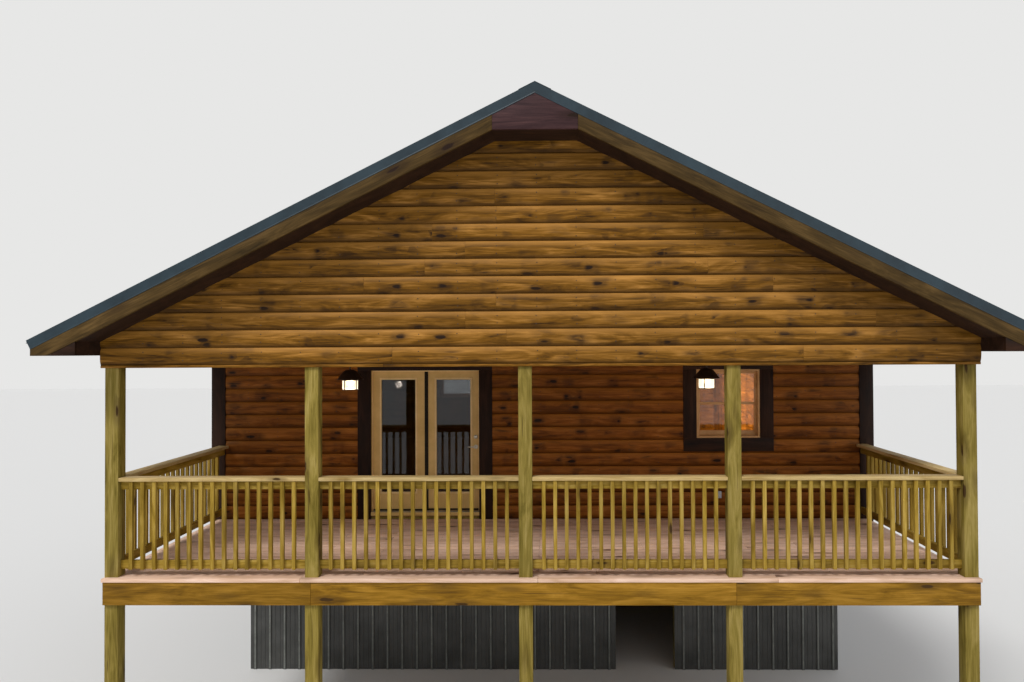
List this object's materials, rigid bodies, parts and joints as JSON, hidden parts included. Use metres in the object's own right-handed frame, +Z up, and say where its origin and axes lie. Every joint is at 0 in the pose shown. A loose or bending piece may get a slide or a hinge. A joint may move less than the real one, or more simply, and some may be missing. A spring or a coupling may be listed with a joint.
{
  "type": "log cabin",
  "caption": "Log-sided gable cabin with a railed full-width front porch on posts, a double door, a metal roof and a skirted crawl space.",
  "frame": {"origin": "on the ground under the middle of the roof", "axes": "+X to the right seen from the porch, +Y from the porch to the back of the house, +Z up"},
  "size_m": [10.016, 13.2, 7.5517],
  "materials": {
    "log_siding": "amber stained half-log pine siding, satin",
    "treated_pine": "new pressure-treated pine, yellow-green, rough sawn",
    "deck_boards": "pale treated pine deck boards",
    "brown_boards": "red-brown stained boards",
    "dark_trim": "near-black brown stained boards",
    "roof_metal": "dark green painted ribbed steel",
    "sheathing": "plain roof sheathing",
    "ceiling_boards": "stained pine boards",
    "door_paint": "almond painted steel door and frame",
    "hardware": "satin lever and deadbolt",
    "pane": "clear window glass",
    "window_wood": "tan wooden window",
    "floor_framing": "sawn joists",
    "floor_boards": "plain floor boards",
    "skirt_metal": "charcoal painted ribbed steel",
    "lantern_metal": "dark bronze painted steel",
    "lantern_lit_glass": "frosted glass lit from inside"
  },
  "bodies": {
    "cabin": {"back_gable": "log_siding", "back_wall": "log_siding", "barge_boards": "brown_boards", "boxed_eaves": "brown_boards", "ceilings": "ceiling_boards", "corner_boards": "dark_trim", "crawl_frame": "treated_pine", "deck_joists": "treated_pine", "deck_rim": "treated_pine", "decking": "deck_boards", "door_frame": "door_paint", "door_trim": "dark_trim", "fixed_leaf": "door_paint", "floor_joists": "floor_framing", "frame_hinges": "hardware", "front_beam": "brown_boards", "front_gable": "log_siding", "front_wall_header": "log_siding", "front_wall_left": "log_siding", "front_wall_right": "log_siding", "glazing": "pane", "house_floor": "floor_boards", "lantern_glass": "lantern_lit_glass", "lanterns": "lantern_metal", "left_wall": "log_siding", "porch_post_1": "treated_pine", "porch_post_2": "treated_pine", "porch_post_3": "treated_pine", "porch_post_4": "treated_pine", "porch_post_5": "treated_pine", "railing_front_1": "treated_pine", "railing_front_2": "treated_pine", "railing_front_3": "treated_pine", "railing_front_4": "treated_pine", "railing_sides": "treated_pine", "rake_soffits": "brown_boards", "rake_trim": "roof_metal", "ridge_cap": "roof_metal", "right_wall": "log_siding", "roof_left": "roof_metal", "roof_right": "roof_metal", "roof_sheathing": "sheathing", "side_beams": "brown_boards", "skirt_back": "skirt_metal", "skirt_front_header": "skirt_metal", "skirt_front_left": "skirt_metal", "skirt_front_right": "skirt_metal", "skirt_sides": "skirt_metal", "window_frames": "window_wood", "window_trim": "dark_trim"},
    "door": {"hinged_leaf": "door_paint", "hinged_glass": "pane", "door_hardware": "hardware"}
  },
  "joints": [
    {"name": "door_swing", "type": "hinge", "parent": "cabin", "child": "door", "pos_m": [-1.584, -3.298, 2.65], "axis": [0, 0, 1], "range_deg": [0, 100]}
  ]
}
